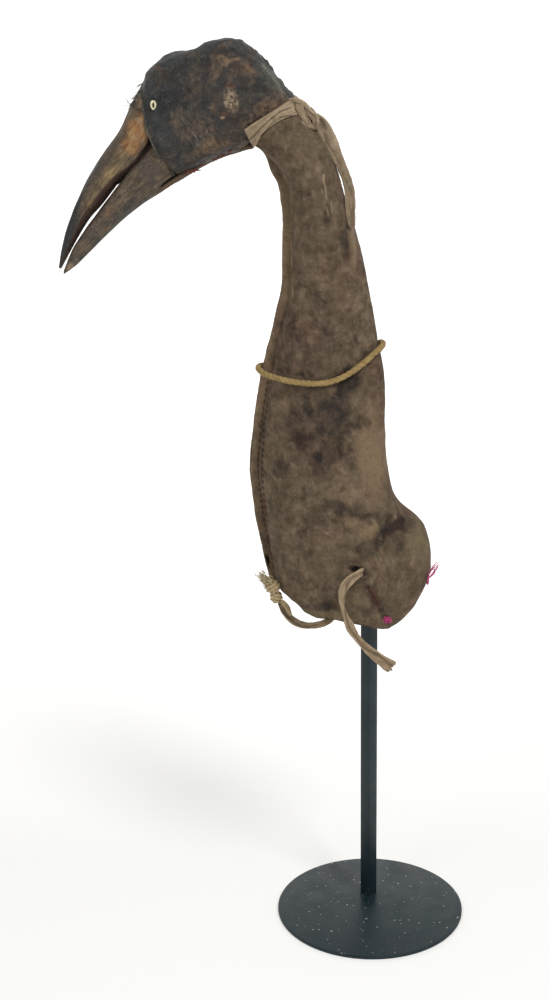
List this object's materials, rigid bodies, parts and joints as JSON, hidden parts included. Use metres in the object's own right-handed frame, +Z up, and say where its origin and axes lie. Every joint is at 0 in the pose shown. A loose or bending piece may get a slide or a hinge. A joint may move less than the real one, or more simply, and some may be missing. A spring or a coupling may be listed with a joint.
{
  "type": "hunting mask",
  "caption": "Hunter's decoy headdress: long-beaked bird's head on a curved hollow hide neck, held up by a square bar on a round foot plate.",
  "frame": {"origin": "centre of the foot plate's underside, on the surface it stands on", "axes": "+Z up; the beak points to -X; the side with the hanging tie faces -Y"},
  "size_m": [0.3234, 0.16, 0.7349],
  "materials": {
    "steel": "satin dark blue-grey paint",
    "neck_hide": "matte brown-grey hide with dark stains",
    "head_hide": "near-black hide, worn in places",
    "horn": "streaked brown, blue-black at the tip, dull",
    "bead": "cream bead with a dark middle",
    "strap_leather": "pale tan, dry and creased",
    "cord": "twisted yellow-ochre fibre"
  },
  "bodies": {
    "root": {"stand_disc": "steel", "stand_post": "steel", "neck": "neck_hide", "head": "head_hide", "upper_beak": "horn", "lower_beak": "horn", "eye_near": "bead", "eye_far": "bead", "neck_strap": "strap_leather", "strap_tail": "strap_leather", "neck_cord": "cord", "side_tie": "strap_leather", "front_tie_knot": "strap_leather", "front_tie": "strap_leather"}
  },
  "joints": []
}
